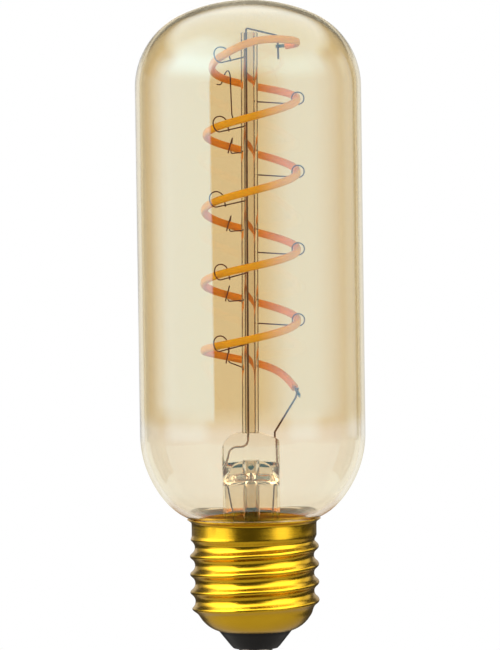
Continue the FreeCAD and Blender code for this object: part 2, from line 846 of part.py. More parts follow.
def bottom_lead_wire():
    """Wire from the press up and out, bent straight where it crosses the lower tab."""
    start_z = press_top_z - seal_depth
    knee_z = press_top_z + bottom_lead_knee
    weld, upward = tab_weld_point(coil_end_turn, 1)
    points = [
        Vector(bottom_lead_offset, 0, start_z),
        Vector(bottom_lead_offset, 0, knee_z),
        weld - upward * bottom_lead_below_tab,
        weld + upward * bottom_lead_above_tab,
    ]
    return leaned(bent_wire(points, lead_bend, lead_r))


def lead_in(side, route):
    """Wire sealed in the press, down inside the stem and through the board."""
    points = [Vector(mount_offset + side * out, 0, press_top_z - depth) for out, depth in route]
    points.append(Vector(side * lead_foot_spread, 0, board_z - wire_stub))
    return bent_wire(points, lead_in_bend, lead_r)


# Driver

def driver_board():
    """Round board across the cap, with holes for the wires."""
    radius = shell_bore_r - board_gap
    board = Part.makeCylinder(radius, board_thick, Vector(0, 0, board_z))
    holes = [Part.makeCylinder(lead_r + fit_gap, board_thick * 3, Vector(x, 0, board_z - board_thick))
             for x in (-lead_foot_spread, lead_foot_spread)]
    holes.append(Part.makeCylinder(wire_r + fit_gap, board_thick * 3, Vector(0, 0, board_z - board_thick)))
    exit_x, exit_y = shell_wire_exit()
    holes.append(Part.makeCylinder(wire_r + fit_gap, board_thick * 3,
                                   Vector(exit_x, exit_y, board_z - board_thick)))
    return board.cut(holes)


def shell_wire_exit():
    """Place on the board where the wire to the shell goes through."""
    out = polar(shell_bore_r - board_gap - shell_wire_inset, math.radians(shell_wire_angle), 0)
    return out.x, out.y


def on_board(size, place):
    """Moulded component with rounded corners, centred at a place on top of the board."""
    foot = Vector(place[0] - size[0] / 2, place[1] - size[1] / 2,
                  board_z + board_thick + component_gap)
    block = Part.makeBox(*size, foot)
    uprights = [edge for edge in block.Edges
                if abs(edge.tangentAt(edge.FirstParameter).z) > 0.9]
    return block.makeFillet(component_corner, uprights)


def under_board(radius, length, y):
    """Round component that lies along X under the board with its two legs bent up to it."""
    seat_z = board_z - component_gap
    z = seat_z - radius
    can = Part.makeCylinder(radius, length, Vector(-length / 2, y, z), Vector(1, 0, 0))
    legs = []
    for side in (-1, 1):
        points = [
            Vector(side * (length / 2 - leg_inset), y, z),
            Vector(side * (length / 2 + leg_reach), y, z),
            Vector(side * (length / 2 + leg_reach), y, seat_z),
        ]
        legs.append(bent_wire(points, leg_bend, wire_r))
    return can.fuse(legs)


def contact_wire():
    """Straight wire from the contact's shank up through the board."""
    start = Vector(0, 0, contact_tip_z + fit_gap)
    return Part.makeCylinder(wire_r, board_z + board_thick + wire_stub - start.z, start)


def shell_solder_centre():
    """Centre of the solder blob, clear of the inner face of the shell."""
    z = shoulder_top_z - solder_drop
    radius = shell_base_radius(z) - shell_wall - solder_r - solder_gap
    return polar(radius, math.radians(shell_wire_angle), z)


def shell_wire():
    """Wire from the board down to the solder on the shell."""
    exit_x, exit_y = shell_wire_exit()
    blob = shell_solder_centre()
    points = [
        Vector(exit_x, exit_y, board_z + board_thick + wire_stub),
        Vector(exit_x, exit_y, blob.z + shell_wire_turn),
        blob,
    ]
    return bent_wire(points, wire_bend, wire_r)


def shell_solder(wire):
    """Drop of solder that joins the wire to the shell."""
    return Part.makeSphere(solder_r, shell_solder_centre()).cut(wire)


def all_pieces():
    """Every node of the lamp by name."""
    supports = all_supports()
    top_lead = top_lead_wire()
    bottom_lead = bottom_lead_wire()
    left_in = lead_in(-1, lead_in_left_route)
    right_in = lead_in(1, lead_in_right_route)
    to_shell = shell_wire()
    pieces = {
        "glass_envelope": glass_envelope(),
        "stem_flare": stem_flare([bottom_lead, left_in, right_in]),
        "exhaust_tube": exhaust_tube(),
        "centre_column": centre_column(list(supports.values())),
        "led_filament": leaned(led_filament()),
        "filament_tab_top": leaned(end_tab(coil_start_turn, -1)),
        "filament_tab_bottom": leaned(end_tab(coil_end_turn, 1)),
        "top_lead_wire": top_lead,
        "bottom_lead_wire": bottom_lead,
        "lead_in_left": left_in,
        "lead_in_right": right_in,
        "basing_cement": basing_cement(),
        "cap_shell": cap_shell(),
        "cap_insulator": cap_insulator(),
        "centre_contact": centre_contact(),
        "driver_board": driver_board(),
        "bridge_rectifier": on_board(rectifier_size, rectifier_place),
        "driver_chip": on_board(chip_size, chip_place),
        "chip_resistor_1": on_board(resistor_size, resistor_places[0]),
        "chip_resistor_2": on_board(resistor_size, resistor_places[1]),
        "smoothing_capacitor": under_board(capacitor_r, capacitor_length, capacitor_y),
        "fusible_resistor": under_board(fusible_r, fusible_length, fusible_y),
        "contact_wire": contact_wire(),
        "shell_wire": to_shell,
        "shell_solder": shell_solder(to_shell),
    }
    pieces.update(supports)
    return pieces


os.makedirs("parts", exist_ok=True)
for name, shape in all_pieces().items():
    shape.exportStep(os.path.join("parts", name + ".step"))
    print(name, "valid" if shape.isValid() else "NOT VALID", len(shape.Solids), round(shape.Volume, 3))
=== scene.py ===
import math

import bmesh
import bpy
from mathutils import Matrix, Quaternion, Vector


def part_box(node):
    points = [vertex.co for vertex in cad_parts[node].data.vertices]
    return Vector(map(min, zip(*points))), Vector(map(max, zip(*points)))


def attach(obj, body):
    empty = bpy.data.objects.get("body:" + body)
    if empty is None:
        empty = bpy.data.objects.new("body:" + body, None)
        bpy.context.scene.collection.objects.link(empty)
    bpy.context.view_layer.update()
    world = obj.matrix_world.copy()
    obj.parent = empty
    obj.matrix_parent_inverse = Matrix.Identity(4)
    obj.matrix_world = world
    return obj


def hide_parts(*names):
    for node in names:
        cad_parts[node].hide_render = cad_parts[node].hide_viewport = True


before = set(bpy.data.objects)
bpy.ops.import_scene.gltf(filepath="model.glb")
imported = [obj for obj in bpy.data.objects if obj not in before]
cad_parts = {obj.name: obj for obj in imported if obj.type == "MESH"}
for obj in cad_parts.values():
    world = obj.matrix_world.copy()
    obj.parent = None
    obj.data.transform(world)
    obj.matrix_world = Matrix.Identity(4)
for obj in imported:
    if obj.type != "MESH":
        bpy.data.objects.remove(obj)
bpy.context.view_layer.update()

mm = 0.001


# Glass stem and exhaust tube
# The stem is a lead-glass tube, flared at its foot and pinched flat at its top while hot.
# The exhaust tube is fused into the press, and was melted shut after the air was drawn out.

def linear(hex_colour):
    """Linear RGBA of an sRGB hex colour."""
    parts = [int(hex_colour[i:i + 2], 16) / 255 for i in (1, 3, 5)]
    return [c / 12.92 if c <= 0.04045 else ((c + 0.055) / 1.055) ** 2.4 for c in parts] + [1.0]


def add_node(material, kind, settings=None, values=None, links=None):
    """Node with its settings and socket values; links maps its inputs to other nodes' outputs."""
    tree = material.node_tree
    made = tree.nodes.new(kind)
    for name, value in (settings or {}).items():
        setattr(made, name, value)
    for name, value in (values or {}).items():
        made.inputs[name].default_value = value
    for name, output in (links or {}).items():
        tree.links.new(output, made.inputs[name])
    return made


def new_material(name):
    """Empty node material and its output node."""
    material = bpy.data.materials.new(name)
    material.use_nodes = True
    material.node_tree.nodes.clear()
    return material, add_node(material, "ShaderNodeOutputMaterial")


def plain_shadow(material, shader, tint, most_faces=5):
    """Shader that lets lamp light, and rays that crossed many faces, straight through glass."""
    path = add_node(material, "ShaderNodeLightPath")
    many = add_node(material, "ShaderNodeMath", settings={"operation": "GREATER_THAN"},
                    values={1: most_faces + 0.5}, links={0: path.outputs["Ray Depth"]})
    straight = add_node(material, "ShaderNodeMath", settings={"operation": "MAXIMUM"},
                        links={0: path.outputs["Is Shadow Ray"], 1: many.outputs[0]})
    clear = add_node(material, "ShaderNodeBsdfTransparent", values={"Color": tint})
    return add_node(material, "ShaderNodeMixShader", links={
        0: straight.outputs[0], 1: shader.outputs[0], 2: clear.outputs[0]})


def new_object(name, data):
    """Object of a mesh, a lamp or the camera, linked to the scene."""
    made = bpy.data.objects.new(name, data)
    bpy.context.collection.objects.link(made)
    return made


def shade_smooth(shape, crease=35):
    """Smooth shading, except over edges that are open or sharper than the crease in degrees."""
    for face in shape.faces:
        face.smooth = True
    for edge in shape.edges:
        edge.smooth = edge.is_manifold and edge.calc_face_angle(0) < math.radians(crease)


def merged_copy(node_name, name, material, crease=35, swell=0.0):
    """Welded, smooth-shaded copy of a CAD node that stands for it, grown by swell all round."""
    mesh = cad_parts[node_name].data.copy()
    mesh.materials.clear()
    mesh.materials.append(material)
    piece = new_object(name, mesh)
    shape = bmesh.new()
    shape.from_mesh(mesh)
    bmesh.ops.remove_doubles(shape, verts=shape.verts, dist=0.002 * mm)
    for face in shape.faces:
        face.material_index = 0
    shade_smooth(shape, crease)
    if swell:
        shape.normal_update()
        for vert in shape.verts:
            vert.co += vert.normal * swell
    shape.to_mesh(mesh)
    shape.free()
    if mesh.has_custom_normals:
        bpy.context.view_layer.objects.active = piece
        bpy.ops.mesh.customdata_custom_splitnormals_clear()
    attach(piece, "root")
    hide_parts(node_name)


# Lead glass, flame worked: clear and smooth, with slow waves that bend what lies behind.
stem_glass, stem_out = new_material("lead_glass_flame_worked")
stem_place = add_node(stem_glass, "ShaderNodeTexCoord")
stem_waves = add_node(stem_glass, "ShaderNodeTexNoise",
                      values={"Scale": 1 / (5 * mm), "Detail": 1.0},
                      links={"Vector": stem_place.outputs["Object"]})
stem_bump = add_node(stem_glass, "ShaderNodeBump",
                     values={"Strength": 0.3, "Distance": 0.15 * mm},
                     links={"Height": stem_waves.outputs[0]})
stem_shader = add_node(stem_glass, "ShaderNodeBsdfPrincipled",
                       values={"Base Color": linear("#FDFAF2"), "Roughness": 0.0, "IOR": 1.5,
                               "Transmission Weight": 1.0},
                       links={"Normal": stem_bump.outputs[0]})
stem_mix = plain_shadow(stem_glass, stem_shader, linear("#F4F0E8"))
stem_glass.node_tree.links.new(stem_mix.outputs[0], stem_out.inputs[0])

merged_copy("stem_flare", "stem", stem_glass)
merged_copy("exhaust_tube", "exhaust", stem_glass)


# Centre column
# A hollow glass rod that stands on the press. Its upper rim is rounded by the flame, and
# the support wires' roots are pressed into its softened wall.

column_r = 1.72 * mm
column_wall = 0.87 * mm
column_lean = math.radians(0.6)
lean_rise = 0.02 * mm
rim_round = 0.2 * mm


def profile(outline):
    """Bmesh of a closed outline of (radius, height) corners, and its vertices."""
    shape = bmesh.new()
    corners = [shape.verts.new((r, 0, z)) for r, z in outline]
    for start, end in zip(corners, corners[1:] + corners[:1]):
        shape.edges.new((start, end))
    return shape, corners


def finish_spin(shape, steps):
    """Turns a profile once about the Z axis into a skin with its faces outwards."""
    bmesh.ops.spin(shape, geom=shape.verts[:] + shape.edges[:], cent=(0, 0, 0), axis=(0, 0, 1),
                   angle=2 * math.pi, steps=steps, use_merge=True)
    bmesh.ops.remove_doubles(shape, verts=shape.verts, dist=0.0005 * mm)
    bmesh.ops.recalc_face_normals(shape, faces=shape.faces)


def object_of(name, shape, material):
    """Object of a finished bmesh in one material."""
    mesh = bpy.data.meshes.new(name)
    shape.to_mesh(mesh)
    shape.free()
    mesh.materials.append(material)
    return new_object(name, mesh)


def add_piece(name, shape, material, node_name):
    """Smooth-shaded piece of a finished bmesh that stands for a CAD node."""
    shade_smooth(shape)
    piece = object_of(name, shape, material)
    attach(piece, "root")
    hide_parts(node_name)


column_low, column_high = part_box("centre_column")
column, corners = profile([
    (column_r - column_wall, column_low.z),
    (column_r, column_low.z),
    (column_r, column_high.z - lean_rise),
    (column_r - column_wall, column_high.z - lean_rise),
])
bmesh.ops.bevel(column, geom=corners[2:], affect="VERTICES", offset=rim_round, segments=4,
                profile=0.5, material=-1)
finish_spin(column, steps=64)
bmesh.ops.rotate(column, verts=column.verts, cent=(0, 0, column_low.z),
                 matrix=Matrix.Rotation(column_lean, 3, "Y"))
bmesh.ops.translate(column, verts=column.verts,
                    vec=(column_low.x + column_r * math.cos(column_lean), 0, 0))
add_piece("column", column, stem_glass, "centre_column")


# Support wires
# Thin wires of heat-dulled molybdenum, fused into the column and bent once round the
# filament in a pigtail.

# Molybdenum, drawn and oxidised: a dark brown metal that hardly shines.
support_metal, support_out = new_material("molybdenum_drawn_oxidised")
support_place = add_node(support_metal, "ShaderNodeTexCoord")
support_stain = add_node(support_metal, "ShaderNodeTexNoise",
                         values={"Scale": 1 / (3 * mm), "Detail": 2.0},
                         links={"Vector": support_place.outputs["Object"]})
support_colour = add_node(support_metal, "ShaderNodeMix", settings={"data_type": "RGBA"},
                          values={6: linear("#7C4C22"), 7: linear("#946030")},
                          links={0: support_stain.outputs[0]})
support_shader = add_node(support_metal, "ShaderNodeBsdfPrincipled",
                          values={"Metallic": 1.0, "Roughness": 0.42},
                          links={"Base Color": support_colour.outputs[2]})
support_metal.node_tree.links.new(support_shader.outputs[0], support_out.inputs[0])

support_thinning = -0.04 * mm
for node_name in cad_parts:
    if node_name.startswith("support_"):
        merged_copy(node_name, node_name + "_wire", support_metal,
                    swell=support_thinning)


# Filament
# A soft strip of small light chips cast in silicone that holds yellow-orange phosphor.
# It hangs in the loops of the support wires as a spiral.

# Silicone with phosphor, cast: dull, soft, slightly grainy and yellow-orange. The face towards
# the column carries painted shade, a deeper orange.
phosphor, phosphor_out = new_material("silicone_phosphor_cast")
phosphor_place = add_node(phosphor, "ShaderNodeTexCoord")
phosphor_grain = add_node(phosphor, "ShaderNodeTexNoise",
                          values={"Scale": 1 / (0.25 * mm), "Detail": 3.0},
                          links={"Vector": phosphor_place.outputs["Object"]})
# Painted shade: faces turned towards the column are coloured a deeper orange.
phosphor_axis = add_node(phosphor, "ShaderNodeVectorMath", settings={"operation": "MULTIPLY"},
                         values={1: (1, 1, 0)}, links={0: phosphor_place.outputs["Object"]})
phosphor_ray = add_node(phosphor, "ShaderNodeVectorMath", settings={"operation": "NORMALIZE"},
                        links={0: phosphor_axis.outputs[0]})
phosphor_side = add_node(phosphor, "ShaderNodeVectorMath", settings={"operation": "DOT_PRODUCT"},
                         links={0: phosphor_ray.outputs[0], 1: phosphor_place.outputs["Normal"]})
phosphor_unshaded_side = add_node(phosphor, "ShaderNodeMapRange",
                          settings={"interpolation_type": "SMOOTHSTEP"},
                          values={"From Min": -0.3, "From Max": 0.6},
                          links={"Value": phosphor_side.outputs["Value"]})
phosphor_painted_shade = add_node(phosphor, "ShaderNodeMix", settings={"data_type": "RGBA"},
                         values={6: linear("#FFA800"), 7: linear("#FFC800")},
                         links={0: phosphor_unshaded_side.outputs[0]})
phosphor_fleck = add_node(phosphor, "ShaderNodeMapRange", values={"To Min": 0.0, "To Max": 0.25},
                          links={"Value": phosphor_grain.outputs[0]})
phosphor_colour = add_node(phosphor, "ShaderNodeMix", settings={"data_type": "RGBA"},
                           values={7: linear("#D86800")},
                           links={0: phosphor_fleck.outputs[0], 6: phosphor_painted_shade.outputs[2]})
phosphor_bump = add_node(phosphor, "ShaderNodeBump",
                         values={"Strength": 0.25, "Distance": 0.03 * mm},
                         links={"Height": phosphor_grain.outputs[0]})
phosphor_shader = add_node(phosphor, "ShaderNodeBsdfPrincipled",
                           values={"Roughness": 0.55, "IOR": 1.41, "Specular IOR Level": 0.05,
                                   "Subsurface Weight": 0.15, "Subsurface Scale": 0.4 * mm},
                           links={"Base Color": phosphor_colour.outputs[2],
                                  "Normal": phosphor_bump.outputs[0]})
phosphor.node_tree.links.new(phosphor_shader.outputs[0], phosphor_out.inputs[0])
filament_thinning = -0.1 * mm
merged_copy("led_filament", "filament", phosphor, crease=50,
            swell=filament_thinning)


# Filament tabs
# Nickel-plated steel strips that carry on from the filament's ends, for the leads' welds.

# Nickel-plated steel strip: pale grey, with a soft uneven shine.
strip_metal, strip_out = new_material("nickel_plated_steel_strip")
strip_place = add_node(strip_metal, "ShaderNodeTexCoord")
strip_grain = add_node(strip_metal, "ShaderNodeTexNoise",
                       values={"Scale": 1 / (0.4 * mm), "Detail": 2.0},
                       links={"Vector": strip_place.outputs["Object"]})
strip_rough = add_node(strip_metal, "ShaderNodeMapRange",
                       values={"To Min": 0.28, "To Max": 0.45},
                       links={"Value": strip_grain.outputs[0]})
strip_shader = add_node(strip_metal, "ShaderNodeBsdfPrincipled",
                        values={"Base Color": linear("#A8A29A"), "Metallic": 1.0},
                        links={"Roughness": strip_rough.outputs[0]})
strip_metal.node_tree.links.new(strip_shader.outputs[0], strip_out.inputs[0])
for end in ("top", "bottom"):
    merged_copy("filament_tab_" + end, "tab_" + end, strip_metal)


# Lead wires
# Drawn nickel wires. One runs up the column's bore and over its rim to the upper tab, one
# from the press to the lower tab, and both go on through the press into the cap.

lead_thinning = {"top_lead_wire": -0.02 * mm, "bottom_lead_wire": -0.02 * mm,
                 "lead_in_left": -0.06 * mm, "lead_in_right": -0.06 * mm}
seal_high = column_low.z - 0.6 * mm
seal_low = column_low.z - 7.0 * mm
seal_fade = 0.4 * mm

# Nickel wire, drawn and stained by the flame: brown metal with a soft shine. In the press
# it has a coppery coat that seals to the glass.
lead_metal, lead_out = new_material("nickel_wire_drawn")
lead_place = add_node(lead_metal, "ShaderNodeTexCoord")
lead_stain = add_node(lead_metal, "ShaderNodeTexNoise",
                      values={"Scale": 1 / (4 * mm), "Detail": 2.0},
                      links={"Vector": lead_place.outputs["Object"]})
lead_colour = add_node(lead_metal, "ShaderNodeMix", settings={"data_type": "RGBA"},
                       values={6: linear("#80542E"), 7: linear("#9A6C42")},
                       links={0: lead_stain.outputs[0]})
lead_height = add_node(lead_metal, "ShaderNodeSeparateXYZ",
                       links={0: lead_place.outputs["Object"]})
seal_top = add_node(lead_metal, "ShaderNodeMapRange",
                    values={"From Min": seal_high, "From Max": seal_high - seal_fade},
                    links={"Value": lead_height.outputs["Z"]})
seal_foot = add_node(lead_metal, "ShaderNodeMapRange",
                     values={"From Min": seal_low, "From Max": seal_low + seal_fade},
                     links={"Value": lead_height.outputs["Z"]})
in_seal = add_node(lead_metal, "ShaderNodeMath", settings={"operation": "MULTIPLY"},
                   links={0: seal_top.outputs[0], 1: seal_foot.outputs[0]})
lead_coat = add_node(lead_metal, "ShaderNodeMix", settings={"data_type": "RGBA"},
                     values={7: linear("#D8A890")},
                     links={0: in_seal.outputs[0], 6: lead_colour.outputs[2]})
lead_shader = add_node(lead_metal, "ShaderNodeBsdfPrincipled",
                       values={"Metallic": 1.0, "Roughness": 0.35},
                       links={"Base Color": lead_coat.outputs[2]})
lead_metal.node_tree.links.new(lead_shader.outputs[0], lead_out.inputs[0])
for node_name, thinning in lead_thinning.items():
    merged_copy(node_name, node_name + "_drawn", lead_metal, swell=thinning)


# Glass envelope
# A tube of soda-lime glass blown to a domed crown and drawn in to a neck. A thin gold coat
# tints what is seen through it, and fades out at the shoulder.

bulb_r = 22.75 * mm
glass_wall = 0.9 * mm
straight_length = 69.75 * mm
shoulder_round = 21.2 * mm
heel_round = 12.0 * mm
heel_angle = math.radians(41.0)
neck_fillet = 1.5 * mm
neck_r = 11.3 * mm
dome_edge_round = 16.1 * mm
dome_crown_round = 32.3 * mm

glass_low, glass_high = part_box("glass_envelope")
dome_rise = math.sqrt((dome_crown_round - dome_edge_round) ** 2 - (bulb_r - dome_edge_round) ** 2)
dome_angle = math.atan2(dome_rise, bulb_r - dome_edge_round)
straight_top = glass_high.z - dome_crown_round + dome_rise
straight_foot = straight_top - straight_length
coat_end = straight_foot + 0.6 * mm
coat_full = straight_foot + 4.6 * mm
heel_centre = (bulb_r - shoulder_round + (shoulder_round - heel_round) * math.cos(heel_angle),
               straight_foot - (shoulder_round - heel_round) * math.sin(heel_angle))
fillet_centre_r = neck_r + neck_fillet
fillet_centre_z = heel_centre[1] - math.sqrt((heel_round + neck_fillet) ** 2
                                             - (fillet_centre_r - heel_centre[0]) ** 2)
heel_end = math.atan2(heel_centre[1] - fillet_centre_z, fillet_centre_r - heel_centre[0])

# The outer outline goes from the crown down to the neck's foot, and the wall grows inwards.
envelope = bmesh.new()
tip = envelope.verts.new((0, 0, glass_high.z))


def follow_arc(start, centre, angle, steps):
    """Edges that carry a profile on round a centre, from its last vertex."""
    made = bmesh.ops.spin(envelope, geom=[start], cent=(centre[0], 0, centre[1]),
                          axis=(0, 1, 0), angle=angle, steps=steps)
    return [part for part in made["geom_last"] if isinstance(part, bmesh.types.BMVert)][0]


def follow_line(start, offset, steps):
    """Edges that carry a profile on in a straight line, from its last vertex."""
    for _ in range(steps):
        made = bmesh.ops.extrude_vert_indiv(envelope, verts=[start])
        start = made["verts"][0]
        bmesh.ops.translate(envelope, verts=[start], vec=Vector(offset) / steps)
    return start


tip = follow_arc(tip, (0, glass_high.z - dome_crown_round), math.pi / 2 - dome_angle, steps=20)
tip = follow_arc(tip, (bulb_r - dome_edge_round, straight_top), dome_angle, steps=28)
tip = follow_line(tip, (0, 0, -straight_length), steps=16)
tip = follow_arc(tip, (bulb_r - shoulder_round, straight_foot), heel_angle, steps=18)
tip = follow_arc(tip, heel_centre, heel_end - heel_angle, steps=14)
tip = follow_arc(tip, (fillet_centre_r, fillet_centre_z), -heel_end, steps=8)
follow_line(tip, (0, 0, glass_low.z - tip.co.z), steps=3)
finish_spin(envelope, steps=160)
bmesh.ops.solidify(envelope, geom=envelope.verts[:] + envelope.edges[:] + envelope.faces[:],
                   thickness=glass_wall)

# Soda-lime glass, blown and gold coated: clear, with a warm tint and a strong cool gloss.
# The coat reflects more than bare glass does, so the index is above that of glass.
gold_glass, gold_out = new_material("soda_lime_glass_blown_gold_coat")
gold_place = add_node(gold_glass, "ShaderNodeTexCoord")
gold_waves = add_node(gold_glass, "ShaderNodeTexNoise",
                      values={"Scale": 1 / (14 * mm), "Detail": 1.0},
                      links={"Vector": gold_place.outputs["Object"]})
gold_bump = add_node(gold_glass, "ShaderNodeBump",
                     values={"Strength": 0.15, "Distance": 0.2 * mm},
                     links={"Height": gold_waves.outputs[0]})
gold_height = add_node(gold_glass, "ShaderNodeSeparateXYZ",
                       links={0: gold_place.outputs["Object"]})
coat_fade = add_node(gold_glass, "ShaderNodeMapRange",
                     settings={"interpolation_type": "SMOOTHSTEP"},
                     values={"From Min": coat_end, "From Max": coat_full},
                     links={"Value": gold_height.outputs["Z"]})
gold_tint = add_node(gold_glass, "ShaderNodeMix", settings={"data_type": "RGBA"},
                     values={6: linear("#F8F4E6"), 7: linear("#EFE4C4")},
                     links={0: coat_fade.outputs[0]})
gold_shader = add_node(gold_glass, "ShaderNodeBsdfPrincipled",
                       values={"Roughness": 0.0, "IOR": 1.85, "Transmission Weight": 1.0,
                               "Specular Tint": linear("#9FE3FF")},
                       links={"Base Color": gold_tint.outputs[2],
                              "Normal": gold_bump.outputs[0]})
gold_mix = plain_shadow(gold_glass, gold_shader, linear("#F4EAD8"))
gold_glass.node_tree.links.new(gold_mix.outputs[0], gold_out.inputs[0])
add_piece("envelope", envelope, gold_glass, "glass_envelope")


# Basing cement
# Amber resin cement, pressed in between the glass neck and the cap and cured by heat.

# Resin cement, cured: matt and grainy amber.
cement, cement_out = new_material("resin_cement_cured")
cement_place = add_node(cement, "ShaderNodeTexCoord")
cement_grain = add_node(cement, "ShaderNodeTexNoise",
                        values={"Scale": 1 / (0.5 * mm), "Detail": 4.0},
                        links={"Vector": cement_place.outputs["Object"]})
cement_colour = add_node(cement, "ShaderNodeMix", settings={"data_type": "RGBA"},
                         values={6: linear("#E08A20"), 7: linear("#F4A63C")},
                         links={0: cement_grain.outputs[0]})
cement_bump = add_node(cement, "ShaderNodeBump", values={"Strength": 0.6, "Distance": 0.1 * mm},
                       links={"Height": cement_grain.outputs[0]})
cement_shader = add_node(cement, "ShaderNodeBsdfPrincipled", values={"Roughness": 0.75},
                         links={"Base Color": cement_colour.outputs[2],
                                "Normal": cement_bump.outputs[0]})
cement.node_tree.links.new(cement_shader.outputs[0], cement_out.inputs[0])
merged_copy("basing_cement", "cement_ring", cement)


# Cap shell
# Thin brass sheet, drawn to a cup and rolled between two tools that press the thread in.

# Brass sheet, rolled: bright yellow metal, with faint lines round the cap that blur its
# shine and slow stains that change its colour a little.
brass, brass_out = new_material("brass_sheet_rolled")
brass_place = add_node(brass, "ShaderNodeTexCoord")
brass_lines = add_node(brass, "ShaderNodeMapping", values={"Scale": (1, 1, 12)},
                       links={"Vector": brass_place.outputs["Object"]})
brass_grain = add_node(brass, "ShaderNodeTexNoise",
                       values={"Scale": 1 / (4 * mm), "Detail": 3.0},
                       links={"Vector": brass_lines.outputs[0]})
brass_stain = add_node(brass, "ShaderNodeTexNoise",
                       values={"Scale": 1 / (9 * mm), "Detail": 2.0},
                       links={"Vector": brass_place.outputs["Object"]})
brass_colour = add_node(brass, "ShaderNodeMix", settings={"data_type": "RGBA"},
                        values={6: linear("#C69A1E"), 7: linear("#DAAE2A")},
                        links={0: brass_stain.outputs[0]})
brass_rough = add_node(brass, "ShaderNodeMapRange", values={"To Min": 0.19, "To Max": 0.27},
                       links={"Value": brass_grain.outputs[0]})
brass_bump = add_node(brass, "ShaderNodeBump", values={"Strength": 0.12, "Distance": 0.05 * mm},
                      links={"Height": brass_grain.outputs[0]})
brass_shader = add_node(brass, "ShaderNodeBsdfPrincipled", values={"Metallic": 1.0},
                        links={"Base Color": brass_colour.outputs[2],
                               "Roughness": brass_rough.outputs[0],
                               "Normal": brass_bump.outputs[0]})
brass.node_tree.links.new(brass_shader.outputs[0], brass_out.inputs[0])
merged_copy("cap_shell", "shell", brass, crease=60)


# Cap insulator
# A cone of black resin, moulded into the shell's foot, that holds the centre contact.

# Phenolic resin, moulded: near black, with a dim even gloss.
insulator, insulator_out = new_material("phenolic_resin_moulded")
insulator_place = add_node(insulator, "ShaderNodeTexCoord")
insulator_grain = add_node(insulator, "ShaderNodeTexNoise",
                           values={"Scale": 1 / (1.2 * mm), "Detail": 3.0},
                           links={"Vector": insulator_place.outputs["Object"]})
insulator_rough = add_node(insulator, "ShaderNodeMapRange",
                           values={"To Min": 0.25, "To Max": 0.42},
                           links={"Value": insulator_grain.outputs[0]})
insulator_shader = add_node(insulator, "ShaderNodeBsdfPrincipled",
                            values={"Base Color": linear("#0B0A08"), "IOR": 1.4,
                                    "Specular IOR Level": 0.3},
                            links={"Roughness": insulator_rough.outputs[0]})
insulator.node_tree.links.new(insulator_shader.outputs[0], insulator_out.inputs[0])
merged_copy("cap_insulator", "insulator", insulator)


# Centre contact
# A stamped brass contact, tinned, riveted through the insulator.

# Brass, stamped and tinned: pale grey, with an uneven shine.
contact, contact_out = new_material("brass_contact_stamped_tinned")
contact_place = add_node(contact, "ShaderNodeTexCoord")
contact_grain = add_node(contact, "ShaderNodeTexNoise",
                         values={"Scale": 1 / (0.8 * mm), "Detail": 3.0},
                         links={"Vector": contact_place.outputs["Object"]})
contact_rough = add_node(contact, "ShaderNodeMapRange", values={"To Min": 0.25, "To Max": 0.5},
                         links={"Value": contact_grain.outputs[0]})
contact_shader = add_node(contact, "ShaderNodeBsdfPrincipled",
                          values={"Base Color": linear("#C8BEB4"), "Metallic": 1.0},
                          links={"Roughness": contact_rough.outputs[0]})
contact.node_tree.links.new(contact_shader.outputs[0], contact_out.inputs[0])
merged_copy("centre_contact", "contact", contact)


# Driver in the cap
# A round resin board with a rectifier, a driver chip, resistors and a capacitor, wired to
# the contact and soldered to the shell. None of it shows through the cap.

# Each finish has its slot, a dark and a light colour, how metallic and how rough it is, and
# its nodes. All of them are slightly mottled.
driver_finishes = {
    # Glass-cloth board under lacquer: satin green.
    "glass_epoxy_board_lacquered": ("circuit_board", "#1E5A30", "#2A6E3C", 0.0, 0.5,
                                    ["driver_board"]),
    # Epoxy, moulded: satin black.
    "epoxy_moulded_black": ("component_black", "#141414", "#202020", 0.0, 0.45,
                            ["bridge_rectifier", "driver_chip", "chip_resistor_1",
                             "chip_resistor_2"]),
    # Aluminium, drawn to a can: pale and rather shiny.
    "aluminium_can_drawn": ("capacitor_can", "#B4B6BA", "#C6C8CC", 1.0, 0.3,
                            ["smoothing_capacitor"]),
    # Ceramic under lacquer: satin grey-green.
    "ceramic_lacquered": ("resistor_coat", "#5A6E5C", "#667A68", 0.0, 0.5,
                          ["fusible_resistor"]),
    # Copper wire, tinned: pale and rather shiny.
    "copper_wire_tinned": ("tinned_wire", "#B8B8B8", "#CACACA", 1.0, 0.3,
                           ["contact_wire", "shell_wire"]),
    # Solder, set: grey, with a soft shine.
    "tin_solder_set": ("solder", "#A8AAAC", "#BCBEC0", 1.0, 0.4, ["shell_solder"]),
}
for finish, (slot, dark, light, metallic, roughness, node_names) in driver_finishes.items():
    hidden_finish, hidden_out = new_material(finish)
    place = add_node(hidden_finish, "ShaderNodeTexCoord")
    mottle = add_node(hidden_finish, "ShaderNodeTexNoise",
                      values={"Scale": 1 / (1.0 * mm), "Detail": 2.0},
                      links={"Vector": place.outputs["Object"]})
    tone = add_node(hidden_finish, "ShaderNodeMix", settings={"data_type": "RGBA"},
                    values={6: linear(dark), 7: linear(light)}, links={0: mottle.outputs[0]})
    shader = add_node(hidden_finish, "ShaderNodeBsdfPrincipled",
                      values={"Metallic": metallic, "Roughness": roughness},
                      links={"Base Color": tone.outputs[2]})
    hidden_finish.node_tree.links.new(shader.outputs[0], hidden_out.inputs[0])
    for node_name in node_names:
        for node_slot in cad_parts[node_name].material_slots:
            node_slot.material = hidden_finish


# Floor and backdrop
# The bulb hangs in front of a wide white backdrop, over a pale floor. The camera sees both
# as plain white, also through glass, and the backdrop stays so in gloss.

